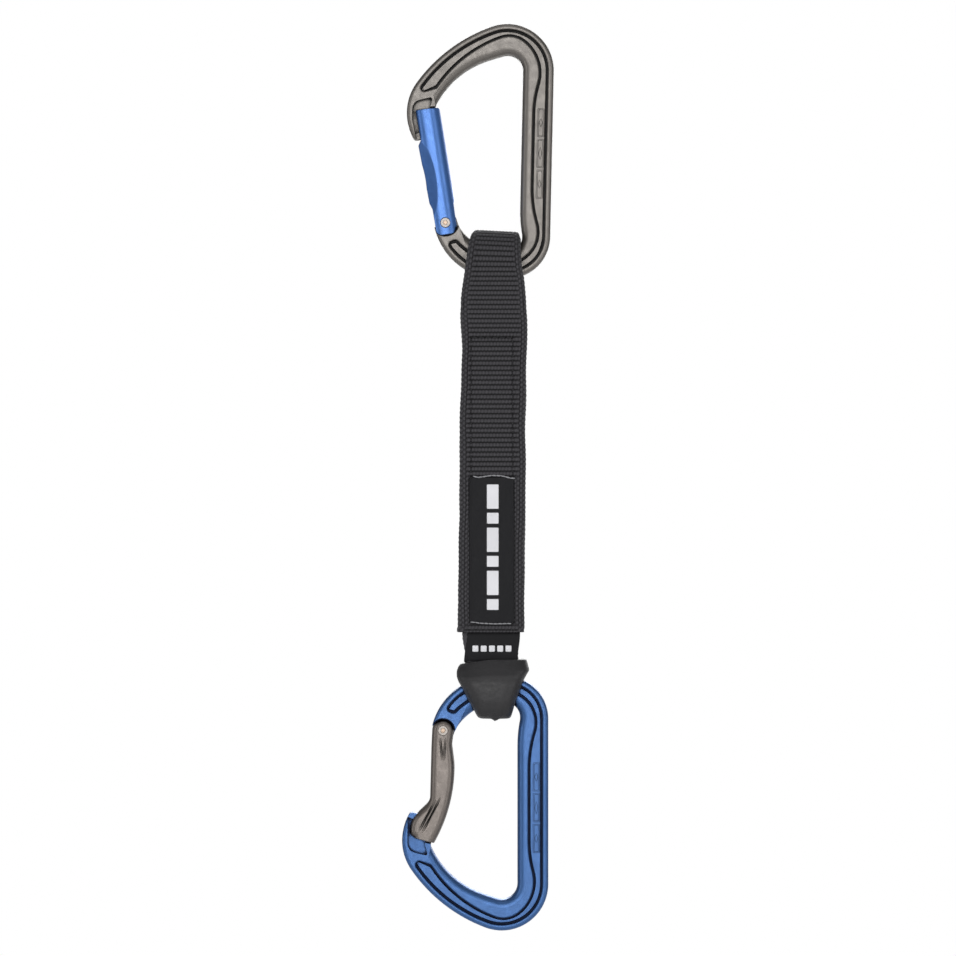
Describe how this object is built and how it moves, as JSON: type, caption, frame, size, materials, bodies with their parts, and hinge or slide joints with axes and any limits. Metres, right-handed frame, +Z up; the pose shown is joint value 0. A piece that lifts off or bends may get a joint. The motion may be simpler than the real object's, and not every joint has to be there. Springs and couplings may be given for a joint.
{
  "type": "climbing quickdraw",
  "caption": "Climbing quickdraw: a straight-gate carabiner and a bent-gate carabiner joined by a sewn ribbed-webbing sling with a rubber keeper at the rope end.",
  "frame": {"origin": "inner apex of the upper carabiner's crown, where it hangs on a bolt hanger", "axes": "+Z up along the hanging quickdraw, +X towards the carabiners' spines, +Y to the back"},
  "size_m": [0.0588, 0.0216, 0.351],
  "materials": {
    "grey_anodised": "satin anodised aluminium",
    "blue_anodised_gate": "satin anodised aluminium",
    "grey_anodised_gate": "satin anodised aluminium",
    "blue_anodised": "satin anodised aluminium",
    "rivet_steel": "peened",
    "spring_steel": "drawn wire",
    "plunger_brass": "turned",
    "webbing": "ribbed nylon weave",
    "black_ribbon": "fine weave",
    "label_cloth": "satin woven label",
    "keeper_rubber": "matte moulded rubber",
    "light_thread": "bonded thread",
    "dark_thread": "bonded thread"
  },
  "bodies": {
    "upper_carabiner": {"upper_frame": "grey_anodised"},
    "upper_gate": {"upper_gate": "blue_anodised_gate", "upper_gate_rivet": "rivet_steel", "upper_gate_spring": "spring_steel"},
    "upper_plunger": {"upper_gate_plunger": "plunger_brass"},
    "upper_loop": {"sling_top_loop": "webbing"},
    "sling_grip": {"sling_front_ply": "webbing", "sling_back_ply": "webbing", "sling_core_tape": "webbing", "woven_label": "label_cloth", "label_stitching": "light_thread", "box_stitching": "dark_thread", "hem_stitching": "dark_thread"},
    "lower_sling": {"lower_strap": "webbing", "ribbon_band": "black_ribbon", "lower_loop": "webbing", "rubber_keeper": "keeper_rubber"},
    "lower_carabiner": {"lower_frame": "blue_anodised"},
    "lower_gate": {"lower_gate": "grey_anodised_gate", "lower_gate_rivet": "rivet_steel", "lower_gate_spring": "spring_steel"},
    "lower_plunger": {"lower_gate_plunger": "plunger_brass"}
  },
  "joints": [
    {"name": "upper_gate_swing", "type": "hinge", "parent": "upper_carabiner", "child": "upper_gate", "pos_m": [-0.02463, 0, -0.06548], "axis": [0, 1, 0], "range_deg": [0, 31], "stiffness_Nm_per_rad": 0.25, "springref_deg": -28.65},
    {"name": "upper_plunger_slide", "type": "slide", "parent": "upper_gate", "child": "upper_plunger", "axis": [-0.1538, 0, 0.9881], "range_m": [0, 0.00055], "deforming": ["upper_gate_spring"]},
    {"name": "sling_swing", "type": "hinge", "parent": "upper_carabiner", "child": "upper_loop", "pos_m": [-0.00578, 0, -0.08155], "axis": [1, 0, 0], "range_deg": [-50, 50]},
    {"name": "grip_twist", "type": "hinge", "parent": "upper_loop", "child": "sling_grip", "pos_m": [-0.0063, 0, -0.1078], "axis": [0, 0, 1], "range_deg": [-45, 45], "stiffness_Nm_per_rad": 0.02},
    {"name": "strap_bend", "type": "hinge", "parent": "sling_grip", "child": "lower_sling", "pos_m": [-0.0066, 0, -0.2262], "axis": [1, 0, 0], "range_deg": [-40, 40], "stiffness_Nm_per_rad": 0.05},
    {"name": "lower_swing", "type": "hinge", "parent": "lower_sling", "child": "lower_carabiner", "pos_m": [-0.00633, 0, -0.24635], "axis": [1, 0, 0], "range_deg": [-20, 20], "stiffness_Nm_per_rad": 0.05},
    {"name": "lower_gate_swing", "type": "hinge", "parent": "lower_carabiner", "child": "lower_gate", "pos_m": [-0.02553, 0, -0.262], "axis": [0, -1, 0], "range_deg": [0, 31], "stiffness_Nm_per_rad": 0.25, "springref_deg": -28.65},
    {"name": "lower_plunger_slide", "type": "slide", "parent": "lower_gate", "child": "lower_plunger", "axis": [0, 0, -1], "range_m": [0, 0.00055], "deforming": ["lower_gate_spring"]}
  ],
  "couplings": [
    {"joint": "upper_plunger_slide", "follows": "upper_gate_swing", "m_per_rad": 0.0009},
    {"joint": "lower_plunger_slide", "follows": "lower_gate_swing", "m_per_rad": 0.0009}
  ]
}
